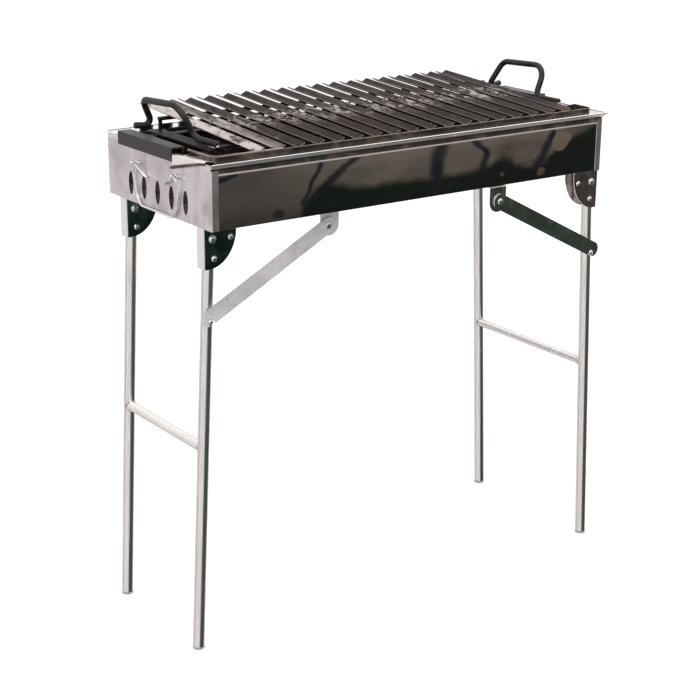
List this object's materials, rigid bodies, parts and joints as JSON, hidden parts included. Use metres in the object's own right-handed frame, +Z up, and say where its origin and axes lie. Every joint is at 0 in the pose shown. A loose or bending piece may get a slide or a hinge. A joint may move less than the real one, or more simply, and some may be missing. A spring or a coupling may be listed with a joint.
{
  "type": "folding charcoal grill",
  "caption": "Free-standing folding stainless charcoal grill: shallow fire box on splayed fold-under tube legs, with a lift-off sloping V-bar grate and drip trough.",
  "frame": {"origin": "middle of the overall footprint in plan, which lies 13.9 mm behind the middle of the fire box, at floor level", "axes": "+X along the fire box, -Y towards the cook's side with the drip trough, +Z up"},
  "size_m": [0.7972, 0.3402, 0.822],
  "materials": {
    "mirror_steel": "mirror-polished stainless sheet",
    "satin_steel": "dull polished stainless sheet",
    "tube_steel": "polished stainless tube",
    "zinc_fixings": "bright plated rivets, bolts and wire",
    "black_frame": "satin black heat-proof paint",
    "seared_steel": "heat-browned, ash-worn bare steel",
    "plug_grey": "matte grey moulded plug"
  },
  "bodies": {
    "fire_box": {"back_panel": "mirror_steel", "bail_eye_left_back": "zinc_fixings", "bail_eye_left_front": "zinc_fixings", "bail_eye_right_back": "zinc_fixings", "bail_eye_right_front": "zinc_fixings", "bottom_pan": "satin_steel", "detent_rivet_fold_left_back": "zinc_fixings", "detent_rivet_fold_left_front": "zinc_fixings", "detent_rivet_fold_right_back": "zinc_fixings", "detent_rivet_fold_right_front": "zinc_fixings", "detent_rivet_open_left_back": "zinc_fixings", "detent_rivet_open_left_front": "zinc_fixings", "detent_rivet_open_right_back": "zinc_fixings", "detent_rivet_open_right_front": "zinc_fixings", "front_panel": "mirror_steel", "grid_ledge_left": "satin_steel", "grid_ledge_right": "satin_steel", "left_end_panel": "satin_steel", "leg_bracket_left_back": "mirror_steel", "leg_bracket_left_front": "mirror_steel", "leg_bracket_right_back": "mirror_steel", "leg_bracket_right_front": "mirror_steel", "leg_pivot_bolt_left_back": "zinc_fixings", "leg_pivot_bolt_left_front": "zinc_fixings", "leg_pivot_bolt_right_back": "zinc_fixings", "leg_pivot_bolt_right_front": "zinc_fixings", "right_end_panel": "satin_steel", "stay_tab_left": "mirror_steel", "stay_tab_right": "mirror_steel"},
    "left_leg_frame": {"cross_bar_left": "tube_steel", "hook_stud_left": "zinc_fixings", "leg_plug_left_back": "plug_grey", "leg_plug_left_front": "plug_grey", "leg_tube_left_back": "tube_steel", "leg_tube_left_front": "tube_steel"},
    "right_leg_frame": {"cross_bar_right": "tube_steel", "hook_stud_right": "zinc_fixings", "leg_plug_right_back": "plug_grey", "leg_plug_right_front": "plug_grey", "leg_tube_right_back": "tube_steel", "leg_tube_right_front": "tube_steel"},
    "left_stay_pivot": {"stay_rivet_left": "zinc_fixings"},
    "left_stay": {"folding_stay_left": "satin_steel"},
    "right_stay_pivot": {"stay_rivet_right": "zinc_fixings"},
    "right_stay": {"folding_stay_right": "satin_steel"},
    "left_bail": {"bail_handle_left": "zinc_fixings"},
    "right_bail": {"bail_handle_right": "zinc_fixings"},
    "grate_unit": {"drip_trough": "black_frame", "frame_back_rail": "black_frame", "frame_bar_left": "black_frame", "frame_bar_right": "black_frame", "grate_post_left": "black_frame", "grate_post_right": "black_frame", "grate_side_strap_left": "black_frame", "grate_side_strap_right": "black_frame", "grate_v_bars": "seared_steel", "lifting_handle_left": "black_frame", "lifting_handle_right": "black_frame"},
    "charcoal_tray": {"charcoal_grid": "seared_steel"}
  },
  "joints": [
    {"name": "left_leg_fold", "type": "hinge", "parent": "fire_box", "child": "left_leg_frame", "pos_m": [-0.358, -0.0139, 0.645], "axis": [0, -1, 0], "range_deg": [0, 92.8]},
    {"name": "right_leg_fold", "type": "hinge", "parent": "fire_box", "child": "right_leg_frame", "pos_m": [0.358, -0.0139, 0.645], "axis": [0, 1, 0], "range_deg": [0, 89.3]},
    {"name": "left_stay_lift", "type": "hinge", "parent": "fire_box", "child": "left_stay_pivot", "pos_m": [-0.1575, -0.1396, 0.638], "axis": [0, 1, 0], "range_deg": [0, 16]},
    {"name": "left_stay_spring", "type": "hinge", "parent": "left_stay_pivot", "child": "left_stay", "pos_m": [-0.1575, -0.1396, 0.638], "axis": [-0.4866, 0, 0.8736], "range_deg": [0, 1.7]},
    {"name": "right_stay_lift", "type": "hinge", "parent": "fire_box", "child": "right_stay_pivot", "pos_m": [0.1575, -0.1658, 0.638], "axis": [0, -1, 0], "range_deg": [0, 16]},
    {"name": "right_stay_spring", "type": "hinge", "parent": "right_stay_pivot", "child": "right_stay", "pos_m": [0.1575, -0.1658, 0.638], "axis": [-0.4866, 0, -0.8736], "range_deg": [0, 1.7]},
    {"name": "left_bail_swing", "type": "hinge", "parent": "fire_box", "child": "left_bail", "pos_m": [-0.3822, -0.0139, 0.7255], "axis": [0, 1, 0], "range_deg": [0, 95]},
    {"name": "right_bail_swing", "type": "hinge", "parent": "fire_box", "child": "right_bail", "pos_m": [0.3822, -0.0139, 0.7255], "axis": [0, -1, 0], "range_deg": [0, 95]},
    {"name": "grate_lift", "type": "slide", "parent": "fire_box", "child": "grate_unit", "axis": [0, 0, 1], "range_m": [0, 0.2]},
    {"name": "charcoal_grid_lift", "type": "slide", "parent": "fire_box", "child": "charcoal_tray", "axis": [0, 0, 1], "range_m": [0, 0.045]}
  ],
  "couplings": [
    {"joint": "left_stay_spring", "follows": "left_leg_fold", "ratio": 0.0178},
    {"joint": "right_stay_spring", "follows": "right_leg_fold", "ratio": 0.0178}
  ]
}
